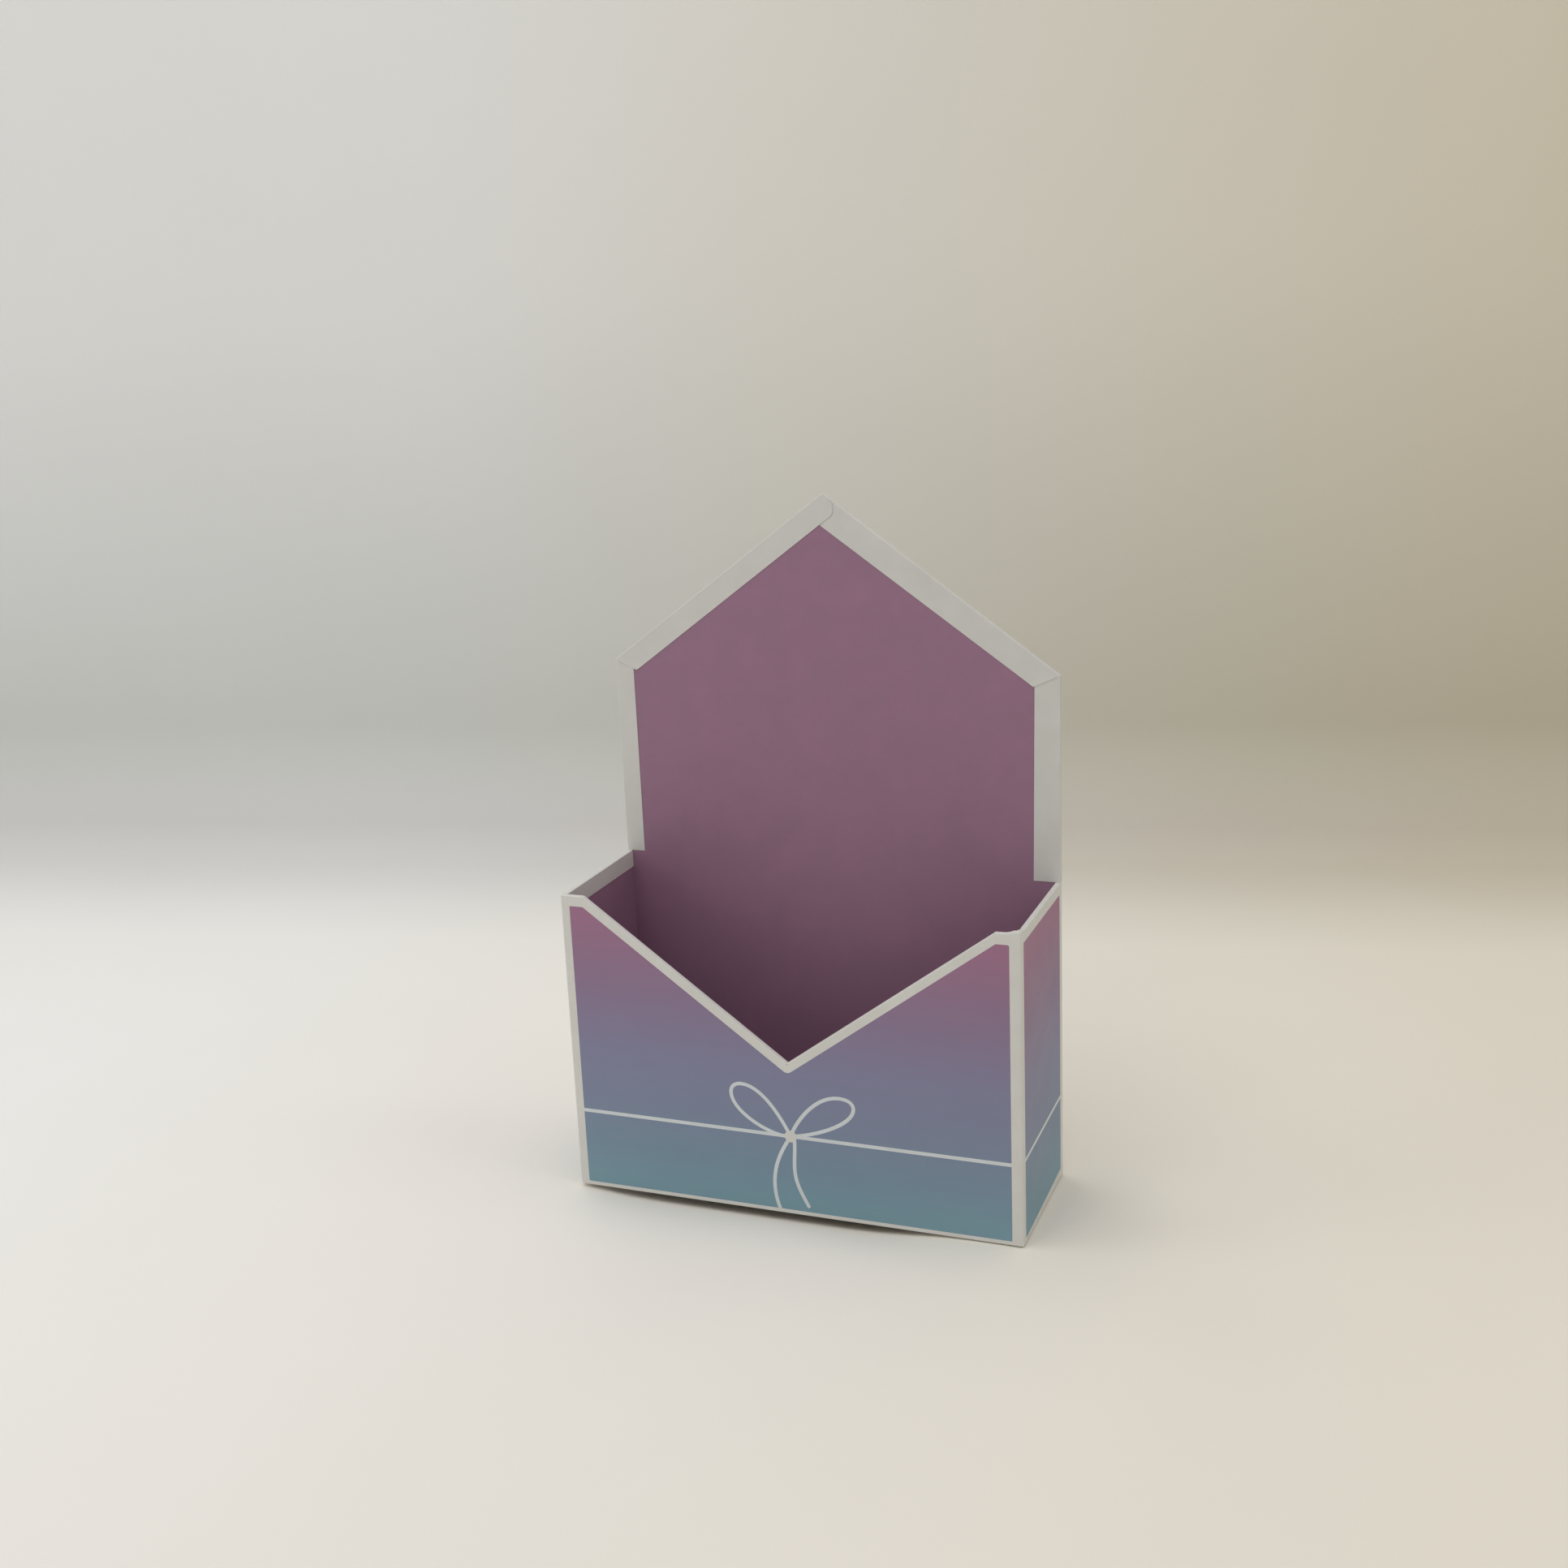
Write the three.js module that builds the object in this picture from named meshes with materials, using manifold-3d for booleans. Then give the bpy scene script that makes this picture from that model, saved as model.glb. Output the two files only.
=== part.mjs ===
// Flower gift box: a shallow rigid board box with a low notched front and a tall gabled back.
// Five boards are held at their corners by paper stays, lined inside and wrapped in printed paper.
// Millimetres, +Z up. The box stands on Z = 0, centred on X and Y, and its notched front faces -Y.
import * as THREE from 'three';
import { mergeVertices } from 'three/addons/utils/BufferGeometryUtils.js';
import Module from 'manifold-3d';

// Finished box, measured over its paper
const boxWidth = 220;
const boxDepth = 76;
const wallHeight = 148;
const shoulderHeight = 245;
const apexHeight = 326;
const notchShelf = 11.5;
const notchLowHeight = 76;

// Stock that the box is made of
const boardThickness = 1.8;
const paperThickness = 0.15;
const stayThickness = 0.1;
const baseSheetThickness = 0.6;
const glueLine = 0.05;

// Flaps of the two wraps, measured from the edge that they fold over
const wallTurnIn = 8.5;
const notchTurnIn = 12;
const gableTurnIn = 12;
const leftSideTurnIn = 10;
const rightSideTurnIn = 12.5;
const bottomTurnIn = 15;
const backReturn = 15;
const mitreGap = 0.4;

// Trims of the other sheets
const backWrapInset = 1;
const baseSheetInset = 3;
const linerInset = 0.2;
const stayLegShare = 0.85;

// Skins between the outside of the box and its boards
const edgeSkin = paperThickness + glueLine;
const stayedSkin = edgeSkin + stayThickness + glueLine;
const backSkin = edgeSkin + stayedSkin;
const liningSkin = glueLine + paperThickness;

// Planes of the box, from its outside in
const halfWidth = boxWidth / 2;
const halfDepth = boxDepth / 2;
const boardHalfWidth = halfWidth - stayedSkin;
const frontBoardY = -halfDepth + stayedSkin;
const frontLinerY = frontBoardY + boardThickness + glueLine;
const frontLinedY = frontBoardY + boardThickness + liningSkin;
const frontInnerY = frontLinedY + liningSkin;
const backBoardY = halfDepth - backSkin - boardThickness;
const backLinerY = backBoardY - liningSkin;
const backInnerY = backLinerY - liningSkin;
const backReturnY = halfDepth - edgeSkin - paperThickness;
const sideBoardX = boardHalfWidth - boardThickness;
const sideLinerX = sideBoardX - liningSkin;
const sideInnerX = sideLinerX - liningSkin;

// Levels of the box, from the floor up
const wrapFoot = baseSheetThickness + glueLine;
const boardFoot = wrapFoot + paperThickness + glueLine;
const baseBoardTop = boardFoot + boardThickness;
const baseLinerFoot = baseBoardTop + glueLine;
const wallBoardTop = wallHeight - edgeSkin;
const backWrapFoldFoot = wallHeight + glueLine;
const stayLeg = notchShelf * stayLegShare;

// Colours of the stock
const greyboard = new THREE.MeshStandardMaterial({ color: 0xa39d90, roughness: 0.95, metalness: 0 });
const stayPaper = new THREE.MeshStandardMaterial({ color: 0xc3ab84, roughness: 0.9, metalness: 0 });
const printedPaper = new THREE.MeshStandardMaterial({ color: 0x9c9dc2, roughness: 0.55, metalness: 0 });
const whitePaper = new THREE.MeshStandardMaterial({ color: 0xeae7df, roughness: 0.6, metalness: 0 });
const mauvePaper = new THREE.MeshStandardMaterial({ color: 0xb48aa6, roughness: 0.7, metalness: 0 });

const wasm = await Module();
wasm.setup();

// A block between two corners
function block(x0, x1, y0, y1, z0, z1) {
  const geometry = new THREE.BoxGeometry(x1 - x0, y1 - y0, z1 - z0);
  geometry.translate((x0 + x1) / 2, (y0 + y1) / 2, (z0 + z1) / 2);
  return geometry;
}

// A plate whose outline is drawn in X and Y, between two levels
function levelPlate(outline, z0, z1) {
  const geometry = new THREE.ExtrudeGeometry(new THREE.Shape(outline), { depth: z1 - z0, bevelEnabled: false });
  geometry.translate(0, 0, z0);
  return geometry;
}

// A plate whose outline is drawn in X and Z, between two depths
function uprightPlate(outline, y0, y1) {
  const geometry = new THREE.ExtrudeGeometry(new THREE.Shape(outline), { depth: y1 - y0, bevelEnabled: false });
  geometry.rotateX(Math.PI / 2);
  geometry.translate(0, y1, 0);
  return geometry;
}

// A closed three.js geometry as a solid that can be joined
function toSolid(geometry) {
  const bare = geometry.clone();
  bare.deleteAttribute('normal');
  bare.deleteAttribute('uv');
  const merged = mergeVertices(bare);
  const mesh = new wasm.Mesh({
    numProp: 3,
    vertProperties: new Float32Array(merged.attributes.position.array),
    triVerts: new Uint32Array(merged.index.array),
  });
  return new wasm.Manifold(mesh);
}

// The folded stretches of one sheet joined into one closed body
function foldedSheet(stretches) {
  const joined = stretches.map(toSolid).reduce((sheet, stretch) => sheet.add(stretch));
  const mesh = joined.getMesh();
  const geometry = new THREE.BufferGeometry();
  geometry.setAttribute('position', new THREE.BufferAttribute(new Float32Array(mesh.vertProperties), 3));
  geometry.setIndex(new THREE.BufferAttribute(new Uint32Array(mesh.triVerts), 1));
  geometry.computeVertexNormals();
  return geometry;
}

// A path moved to its right-hand side, by a distance for each of its stretches, with mitred corners
function offsetPath(path, distances) {
  const normals = distances.map((distance, i) => {
    const along = path[i + 1].clone().sub(path[i]).normalize();
    return new THREE.Vector2(along.y, -along.x);
  });
  const last = distances.length;
  return path.map((point, i) => {
    if (i === 0) return point.clone().addScaledVector(normals[0], distances[0]);
    if (i === last) return point.clone().addScaledVector(normals[last - 1], distances[last - 1]);
    const before = normals[i - 1];
    const after = normals[i];
    const turn = before.x * after.y - before.y * after.x;
    const x = (distances[i - 1] * after.y - distances[i] * before.y) / turn;
    const z = (distances[i] * before.x - distances[i - 1] * after.x) / turn;
    return new THREE.Vector2(point.x + x, point.y + z);
  });
}

// The band between two paths that run the same way
function bandBetween(outerPath, innerPath) {
  return [...outerPath, ...[...innerPath].reverse()];
}

// Top edge of the front wall from left to right, sunk by a skin, out to a half width
function notchPath(reach, skin) {
  const shelfEnd = halfWidth - notchShelf;
  const path = [
    new THREE.Vector2(-reach, wallHeight),
    new THREE.Vector2(-shelfEnd, wallHeight),
    new THREE.Vector2(0, notchLowHeight),
    new THREE.Vector2(shelfEnd, wallHeight),
    new THREE.Vector2(reach, wallHeight),
  ];
  return offsetPath(path, [skin, skin, skin, skin]);
}

// Outline of the tall back above a foot level, from left to right, inside skins for its stretches
function gablePath(foot, leftSkin, gableSkin, rightSkin) {
  const path = [
    new THREE.Vector2(-halfWidth, foot),
    new THREE.Vector2(-halfWidth, shoulderHeight),
    new THREE.Vector2(0, apexHeight),
    new THREE.Vector2(halfWidth, shoulderHeight),
    new THREE.Vector2(halfWidth, foot),
  ];
  return offsetPath(path, [leftSkin, gableSkin, gableSkin, rightSkin]);
}

// Outline of the front wall, from its foot up to its notched edge
function frontOutline(reach, foot, skin) {
  return [...notchPath(reach, skin), new THREE.Vector2(reach, foot), new THREE.Vector2(-reach, foot)];
}

// A flap under the base, with its two ends cut on the mitre
function bottomFlap(startX, startY, endX, endY) {
  const start = new THREE.Vector2(startX, startY);
  const end = new THREE.Vector2(endX, endY);
  const along = end.clone().sub(start).normalize();
  const inward = new THREE.Vector2(-along.y, along.x);
  const cutStart = start.clone().addScaledVector(along, mitreGap);
  const cutEnd = end.clone().addScaledVector(along, -mitreGap);
  const innerEnd = cutEnd.clone().addScaledVector(along, -bottomTurnIn).addScaledVector(inward, bottomTurnIn);
  const innerStart = cutStart.clone().addScaledVector(along, bottomTurnIn).addScaledVector(inward, bottomTurnIn);
  return levelPlate([cutStart, cutEnd, innerEnd, innerStart], wrapFoot, wrapFoot + paperThickness);
}

// One half of the notch's inner flap, square to its sloping edge at the low point, where the paper is slit
function notchFlapHalf(side) {
  const outer = notchPath(sideInnerX, 0);
  const inner = notchPath(sideInnerX, notchTurnIn);
  const order = side < 0 ? [0, 1] : [4, 3];
  const [shelfStart, shelfEnd] = order.map((i) => outer[i]);
  const [flapStart, flapBend] = order.map((i) => inner[i]);
  const low = outer[2];
  const slope = low.clone().sub(shelfEnd).normalize();
  const inward = new THREE.Vector2(side < 0 ? slope.y : -slope.y, side < 0 ? -slope.x : slope.x);
  const flapLow = low.clone().addScaledVector(inward, notchTurnIn);
  const outline = [shelfStart, shelfEnd, low, flapLow, flapBend, flapStart];
  return uprightPlate(outline, frontInnerY - paperThickness, frontInnerY);
}

// The printed sheet round the front and both sides, with all its flaps
function frontAndSidesWrap() {
  const stretches = [
    uprightPlate(frontOutline(halfWidth, wrapFoot, 0), -halfDepth, -halfDepth + paperThickness),
    uprightPlate(bandBetween(notchPath(halfWidth, 0), notchPath(halfWidth, paperThickness)),
      -halfDepth, frontInnerY),
    notchFlapHalf(-1),
    notchFlapHalf(1),
    bottomFlap(-halfWidth, -halfDepth, halfWidth, -halfDepth),
    bottomFlap(halfWidth, -halfDepth, halfWidth, halfDepth),
    bottomFlap(-halfWidth, halfDepth, -halfWidth, -halfDepth),
  ];
  const returnEndY = backReturnY + paperThickness;
  for (const side of [-1, 1]) {
    const spanX = (a, b) => [Math.min(side * a, side * b), Math.max(side * a, side * b)];
    const skinX = spanX(halfWidth - paperThickness, halfWidth);
    const topX = spanX(sideInnerX, halfWidth);
    const flapX = spanX(sideInnerX, sideInnerX + paperThickness);
    const returnX = spanX(halfWidth - backReturn, halfWidth);
    stretches.push(block(...skinX, -halfDepth, returnEndY, wrapFoot, wallHeight));
    stretches.push(block(...topX, -halfDepth, backLinerY - glueLine, wallHeight - paperThickness, wallHeight));
    stretches.push(block(...flapX, frontLinedY, backLinerY - glueLine, wallHeight - wallTurnIn, wallHeight));
    stretches.push(block(...returnX, backReturnY, returnEndY, boardFoot, wallHeight));
  }
  return foldedSheet(stretches);
}

// The sheet over the tall back, folded over its gable and its upper sides on to the lining
function backWrap() {
  const trimmedHalf = halfWidth - backWrapInset;
  const fold = gablePath(backWrapFoldFoot, 0, 0, 0);
  const rear = [
    new THREE.Vector2(-trimmedHalf, wrapFoot),
    new THREE.Vector2(-trimmedHalf, backWrapFoldFoot),
    ...fold,
    new THREE.Vector2(trimmedHalf, backWrapFoldFoot),
    new THREE.Vector2(trimmedHalf, wrapFoot),
  ];
  const foldInner = gablePath(backWrapFoldFoot, paperThickness, paperThickness, paperThickness);
  const flapInner = gablePath(backWrapFoldFoot, leftSideTurnIn, gableTurnIn, rightSideTurnIn);
  return foldedSheet([
    uprightPlate(rear, halfDepth - paperThickness, halfDepth),
    uprightPlate(bandBetween(fold, foldInner), backInnerY, halfDepth),
    uprightPlate(bandBetween(fold, flapInner), backInnerY, backInnerY + paperThickness),
    bottomFlap(trimmedHalf, halfDepth, -trimmedHalf, halfDepth),
  ]);
}

// The tall back's board, or its lining when trimmed and given its own planes
function backPanel(trim, y0, y1) {
  const path = gablePath(boardFoot, stayedSkin + trim, edgeSkin + trim, stayedSkin + trim);
  return uprightPlate(path, y0, y1);
}

// A side wall's board, or its lining when trimmed and given its own planes
function sidePanel(side, x0, x1, trim) {
  const [low, high] = side < 0 ? [-x1, -x0] : [x0, x1];
  return block(low, high, frontLinedY + glueLine, backLinerY - glueLine, boardFoot, wallBoardTop - trim);
}

// A strip of paper folded round the outside of one upright corner of the boards
function cornerStay(sideX, sideY) {
  const boardFaceY = sideY < 0 ? frontBoardY : halfDepth - backSkin;
  const innerX = boardHalfWidth + glueLine;
  const outerX = innerX + stayThickness;
  const innerY = boardFaceY + sideY * glueLine;
  const outerY = innerY + sideY * stayThickness;
  const legEndX = halfWidth - stayLeg;
  const legEndY = outerY - sideY * stayLeg;
  const corners = [
    [legEndX, outerY],
    [outerX, outerY],
    [outerX, legEndY],
    [innerX, legEndY],
    [innerX, innerY],
    [legEndX, innerY],
  ];
  const outline = corners.map(([x, y]) => new THREE.Vector2(sideX * x, y));
  return levelPlate(outline, boardFoot, wallBoardTop);
}

const box = new THREE.Group();

function addPart(name, geometry, material) {
  const mesh = new THREE.Mesh(geometry, material);
  mesh.name = name;
  box.add(mesh);
}

// Boards
const baseReachX = sideLinerX - glueLine;
addPart('base_board', block(-baseReachX, baseReachX, frontLinedY + glueLine, backLinerY - glueLine,
  boardFoot, baseBoardTop), greyboard);
addPart('front_board', uprightPlate(frontOutline(boardHalfWidth, boardFoot, edgeSkin),
  frontBoardY, frontBoardY + boardThickness), greyboard);
addPart('back_board', backPanel(0, backBoardY, backBoardY + boardThickness), greyboard);
addPart('left_side_board', sidePanel(-1, sideBoardX, boardHalfWidth, 0), greyboard);
addPart('right_side_board', sidePanel(1, sideBoardX, boardHalfWidth, 0), greyboard);

// Corner stays
for (const [sideX, sideName] of [[-1, 'left'], [1, 'right']]) {
  for (const [sideY, endName] of [[-1, 'front'], [1, 'back']]) {
    addPart(`${endName}_${sideName}_corner_stay`, cornerStay(sideX, sideY), stayPaper);
  }
}

// Linings, each glued to its board before the boards are joined
addPart('front_liner', uprightPlate(frontOutline(boardHalfWidth - linerInset, boardFoot, edgeSkin + linerInset),
  frontLinerY, frontLinedY), mauvePaper);
addPart('back_liner', backPanel(linerInset, backLinerY, backLinerY + paperThickness), mauvePaper);
addPart('left_side_liner', sidePanel(-1, sideLinerX, sideLinerX + paperThickness, linerInset), mauvePaper);
addPart('right_side_liner', sidePanel(1, sideLinerX, sideLinerX + paperThickness, linerInset), mauvePaper);
addPart('base_liner', block(-baseReachX, baseReachX, frontLinedY + glueLine, backLinerY - glueLine,
  baseLinerFoot, baseLinerFoot + paperThickness), mauvePaper);

// Outer paper
addPart('front_and_sides_wrap', frontAndSidesWrap(), printedPaper);
addPart('back_wrap', backWrap(), whitePaper);
const baseHalfX = halfWidth - baseSheetInset;
const baseHalfY = halfDepth - baseSheetInset;
addPart('base_cover_sheet', block(-baseHalfX, baseHalfX, -baseHalfY, baseHalfY, 0, baseSheetThickness), whitePaper);

export default box;
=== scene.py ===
import math

import bmesh
import bpy
from mathutils import Matrix, Vector
from mathutils.geometry import delaunay_2d_cdt


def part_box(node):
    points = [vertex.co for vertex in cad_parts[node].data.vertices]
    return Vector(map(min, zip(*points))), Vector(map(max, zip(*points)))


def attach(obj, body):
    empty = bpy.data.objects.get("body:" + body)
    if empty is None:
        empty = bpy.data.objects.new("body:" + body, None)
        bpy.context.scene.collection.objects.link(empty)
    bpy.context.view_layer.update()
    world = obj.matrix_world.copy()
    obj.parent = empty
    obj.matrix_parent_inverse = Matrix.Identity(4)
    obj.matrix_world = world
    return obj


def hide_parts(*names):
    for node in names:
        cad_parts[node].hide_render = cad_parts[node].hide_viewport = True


# Looks of the flower gift box: its two folded sheets of outer paper with their print, its rounded corner
# stays, the finish of its boards and linings, and the pale sweep that it stands on.
# Sizes are millimetres in the frame of the CAD model, and become metres where a mesh is made.
MM = 0.001

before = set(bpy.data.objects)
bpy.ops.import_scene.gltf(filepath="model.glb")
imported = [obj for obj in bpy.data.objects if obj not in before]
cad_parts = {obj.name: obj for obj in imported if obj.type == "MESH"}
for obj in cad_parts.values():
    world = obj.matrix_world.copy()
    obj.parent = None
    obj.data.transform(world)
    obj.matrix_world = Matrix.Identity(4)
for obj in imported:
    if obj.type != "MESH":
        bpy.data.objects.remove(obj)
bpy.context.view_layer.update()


def node_box(node):
    """Lowest and highest corner of a CAD node, in millimetres."""
    low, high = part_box(node)
    return low / MM, high / MM


# Planes of the box, read from the CAD model
wrap_low, wrap_high = node_box("front_and_sides_wrap")
back_high = node_box("back_wrap")[1]
half_width = wrap_high.x
front_y = wrap_low.y
return_y = wrap_high.y
wrap_foot = wrap_low.z
wall_height = wrap_high.z
rear_y = back_high.y
apex_height = back_high.z
back_lining_y = node_box("back_liner")[0].y
front_lining_y = node_box("front_liner")[1].y

# Sizes of the box that the boxes of the nodes don't tell
shoulder_height = 245
notch_shelf = 11.5
notch_low_height = 76
paper = 0.15
glue = 0.05
stay_thickness = 0.1
wall_turn_in = 8.5
notch_turn_in = 12
bottom_turn_in = 15
back_return = 15
back_trim = 1
mitre_gap = 0.4

# Places that follow from them
shelf_end = half_width - notch_shelf
wall_inner_y = front_lining_y + glue + paper
wall_thickness = wall_inner_y - front_y
side_inner_x = half_width - wall_thickness
wall_end_y = back_lining_y - glue
flap_y = back_lining_y - glue - paper
back_fold_foot = wall_height + glue
back_sheet_x = half_width - back_trim

# Roundness of the folds
fold_radius = 0.45
corner_radius = 0.8
arc_steps = 6
corner_turns = [i / arc_steps for i in range(arc_steps + 1)]
sharp_angle = math.radians(35)
fold_foot = wrap_foot + fold_radius
fold_top = wall_height - fold_radius
flat_end_x = half_width - corner_radius
flat_front_y = front_y + corner_radius
flat_rear_y = return_y - corner_radius

# How flat stretches are cut and welded: the decimals of a shared corner, the reach of a shared cut,
# how far a cut runs past an edge, and the mesh maker's word for faces inside the outline
weld_decimals = 3
cut_reach = 1e-5
overrun = 1
inside_outline = 1

# Folded paper swells the top of the right front corner, with stations along the edges beside it
right_corner_swell = 1.3
swell_reach = 2.6
swell_stations = (1, 2, 3, 4, 5, 6.5, 8, 12)
wall_swell_ys = [wall_inner_y + run for run in swell_stations]
shelf_swell_xs = [side_inner_x - run for run in swell_stations[:-1]]

# Print on the front and the sides: a fade inside white borders, a band line and a line-drawn bow
fade_top = 143
fade_foot = 2.7
fade_left = -105.6
fade_right = 104.8
notch_border = 4.2
fade_tip_round = 3
fade_corner_round = 0.8
fade_slight_round = 0.4
side_fade_front = -33.6
side_fade_rear = 32.6
side_fade_foot_front = 3
side_fade_foot_rear = 5.4
line_width = 1.75
band_height = 40
side_band_front = 41
side_band_rear = 42.8
knot = (0.4, 39.9)
knot_radius = 2.9
knot_stub = 0.1
curve_steps = 14

# Flaps of the white back sheet, and how far each layer stands off the one below
left_flap = 9.4
right_flap_foot = 12.7
right_flap_top = 11.6
left_gable_flap = 10.6
right_gable_flap_top = 12.8
right_gable_flap_end = 11.6
flap_lift = 0.25
flap_sink = 0.04
telegraph_rise = 0.12
telegraph_run = 1.2
back_thickness = rear_y - telegraph_rise - flap_y
back_step = back_fold_foot + telegraph_run
return_step_xs = [half_width - back_return - run for run in (0, telegraph_run)]

# Seams where those flaps meet
seam_fall_share = 0.44
seam_tip = 3
seam_round = 1.2
tuck = 1.5
lap = 4.8
lap_sink = 1
lap_inset = 0.4
lap_round = 2.5
line_reach = 20

# Places of a folded sheet's materials in its list
plain = 0
printed = 1
fine_line = 2


# Flat geometry, with points as (across, up)

def arc_points(centre, radius, start, end, steps=arc_steps):
    """Points along an arc, with its angles in degrees."""
    turns = [math.radians(start + (end - start) * i / steps) for i in range(steps + 1)]
    return [(centre[0] + radius * math.cos(t), centre[1] + radius * math.sin(t)) for t in turns]


def curve_points(start, first_handle, second_handle, end):
    """Points along a Bezier curve, without its start."""
    points = []
    for i in range(1, curve_steps + 1):
        t = i / curve_steps
        weights = ((1 - t) ** 3, 3 * (1 - t) ** 2 * t, 3 * (1 - t) * t * t, t ** 3)
        places = (start, first_handle, second_handle, end)
        points.append(tuple(sum(w * p[axis] for w, p in zip(weights, places)) for axis in (0, 1)))
    return points


def rounded_outline(corners):
    """A closed outline whose corners, given as (across, up, radius), are rounded."""
    points = []
    for i, (x, y, radius) in enumerate(corners):
        here = Vector((x, y))
        before = (Vector(corners[i - 1][:2]) - here).normalized()
        after = (Vector(corners[(i + 1) % len(corners)][:2]) - here).normalized()
        if radius == 0:
            points.append((x, y))
            continue
        half = before.angle(after) / 2
        centre = here + (before + after).normalized() * radius / math.sin(half)
        start = (here + before * radius / math.tan(half) - centre).normalized()
        end = (here + after * radius / math.tan(half) - centre).normalized()
        points += [tuple(centre + start.slerp(end, i / arc_steps) * radius) for i in range(arc_steps + 1)]
    return points


def offset_path(path, distance):
    """A path moved to its right-hand side by a distance, with mitred corners."""
    normals = []
    for (x0, y0), (x1, y1) in zip(path, path[1:]):
        along = Vector((x1 - x0, y1 - y0)).normalized()
        normals.append(Vector((along.y, -along.x)))
    moved = [Vector(path[0]) + normals[0] * distance]
    for point, before, after in zip(path[1:], normals, normals[1:]):
        turn = before.x * after.y - before.y * after.x
        shift_x = distance * after.y - distance * before.y
        shift_y = distance * before.x - distance * after.x
        moved.append(Vector(point) + Vector((shift_x, shift_y)) / turn)
    moved.append(Vector(path[-1]) + normals[-1] * distance)
    return [tuple(point) for point in moved]


def crossing(a, b, c, d):
    """Where the line through a and b meets the line through c and d."""
    start, along = Vector(a), Vector(b) - Vector(a)
    other, across = Vector(c), Vector(d) - Vector(c)
    share = (other - start).cross(across) / along.cross(across)
    return tuple(start + along * share)


def stroke_outline(line, width):
    """The outline of a pen stroke along a line, with round ends."""
    half = width / 2
    points = [Vector(p) for p in line]
    directions = [(b - a).normalized() for a, b in zip(points, points[1:])]
    before, after = directions[:1] + directions, directions + directions[-1:]
    tangents = [(a + b).normalized() for a, b in zip(before, after)]
    left = [tuple(p + Vector((-t.y, t.x)) * half) for p, t in zip(points, tangents)]
    right = [tuple(p - Vector((-t.y, t.x)) * half) for p, t in zip(points, tangents)]
    start_turn = math.degrees(math.atan2(directions[0].y, directions[0].x))
    end_turn = math.degrees(math.atan2(directions[-1].y, directions[-1].x))
    start_cap = arc_points(points[0], half, start_turn - 90, start_turn - 270)[1:-1]
    end_cap = arc_points(points[-1], half, end_turn + 90, end_turn - 90)[1:-1]
    return left + end_cap + right[::-1] + start_cap


def is_inside(point, outline):
    """True if a point lies inside a closed outline."""
    x, y = point
    inside = False
    for (x0, y0), (x1, y1) in zip(outline, outline[1:] + outline[:1]):
        if (y0 > y) != (y1 > y) and x < x0 + (y - y0) * (x1 - x0) / (y1 - y0):
            inside = not inside
    return inside


def is_near(point, line, reach):
    """True if a point lies within reach of a line."""
    here = Vector(point)
    for a, b in zip(line, line[1:]):
        start = Vector(a)
        along = Vector(b) - start
        share = min(max((here - start).dot(along) / along.length_squared, 0), 1)
        if (start + along * share - here).length <= reach:
            return True
    return False


# Outlines of the box

def notch_path(depth):
    """Top edge of the front wall from left to right, sunk by a depth."""
    path = [
        (-half_width, wall_height),
        (-shelf_end, wall_height),
        (0, notch_low_height),
        (shelf_end, wall_height),
        (half_width, wall_height),
    ]
    return offset_path(path, depth)


def notch_bend_x(depth):
    """Distance across at which the sunk shelf bends into its slope of the notch."""
    return notch_path(depth)[3][0]


def gable_path(depth):
    """Edge of the tall back above the walls, from left to right, moved in by a depth."""
    path = [
        (-half_width, back_fold_foot),
        (-half_width, shoulder_height),
        (0, apex_height),
        (half_width, shoulder_height),
        (half_width, back_fold_foot),
    ]
    return offset_path(path, depth)


def slit_point(side, depth):
    """Where the paper over one slope of the notch ends at the low point, square to that slope."""
    run, fall = shelf_end, wall_height - notch_low_height
    length = math.hypot(run, fall)
    return side * depth * fall / length, notch_low_height - depth * run / length


def front_corner(side, inset, turn):
    """A point on a rounded upright front corner, from the side at turn 0 to the front at turn 1."""
    radius = max(corner_radius - inset, 0)
    angle = turn * math.pi / 2
    x = half_width - inset - radius + radius * math.cos(angle)
    y = front_y + inset + radius - radius * math.sin(angle)
    return side * x, y


def back_corner(side, turn):
    """A point on a rounded upright back corner, from the side at turn 0 to the rear at turn 1."""
    angle = turn * math.pi / 2
    x = flat_end_x + corner_radius * math.cos(angle)
    y = flat_rear_y + corner_radius * math.sin(angle)
    return side * x, y


def fold_profile(thickness):
    """Paper over a board's edge, as (inset from the outer face, depth below the edge)."""
    outer = arc_points((fold_radius, fold_radius), fold_radius, 180, 270)
    inner = arc_points((thickness - fold_radius, fold_radius), fold_radius, 270, 360)
    return outer + inner


def corner_rise(side, distance, share):
    """How far the paper over a wall's edge swells near a corner, by its share of the way over the edge."""
    swell = right_corner_swell if side > 0 else 0
    return swell * math.exp(-((distance / swell_reach) ** 2)) * math.sin(math.pi * share) ** 0.5


# Folded sheets

def placed(name, data):
    """A new object in the scene, with its data."""
    made = bpy.data.objects.new(name, data)
    bpy.context.scene.collection.objects.link(made)
    return made


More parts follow.
